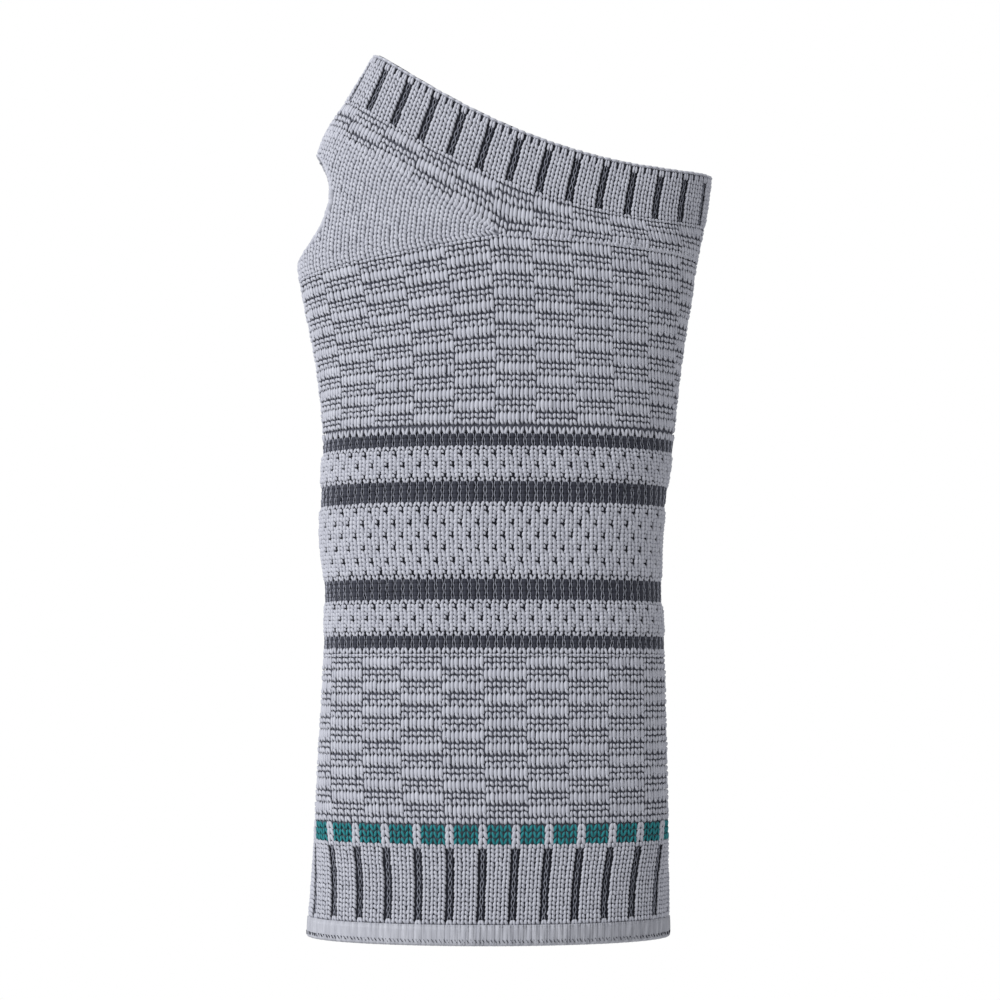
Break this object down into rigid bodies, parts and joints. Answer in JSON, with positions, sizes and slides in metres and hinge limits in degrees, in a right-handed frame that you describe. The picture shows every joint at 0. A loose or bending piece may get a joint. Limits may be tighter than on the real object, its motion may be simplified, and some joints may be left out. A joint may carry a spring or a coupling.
{
  "type": "wrist support",
  "caption": "Knitted tubular wrist support with a ribbed hand cuff, a thumb hole, a striped wrist band and a ribbed forearm cuff.",
  "frame": {"origin": "middle of the hollow at the wrist, where the support sits on the arm", "axes": "+Z along the arm towards the fingers, +X towards the little finger edge, -Y towards the front that the picture shows"},
  "size_m": [0.0842, 0.0344, 0.1776],
  "materials": {
    "light_knit": "matt knitted yarn, light grey",
    "figured_knit": "matt figured knit, light grey over a dark ground",
    "relief_knit": "matt relief knit, light grey with dark grey stripes",
    "rib_knit": "matt rib knit, light grey with dark grey ribs",
    "edge_yarn": "smooth satin grey edge yarn"
  },
  "bodies": {
    "root": {"hem": "edge_yarn", "forearm_cuff": "rib_knit", "forearm_section": "figured_knit", "wrist_band": "relief_knit", "hand_section": "figured_knit", "thumb_gusset": "light_knit", "hand_cuff": "rib_knit"}
  },
  "joints": []
}
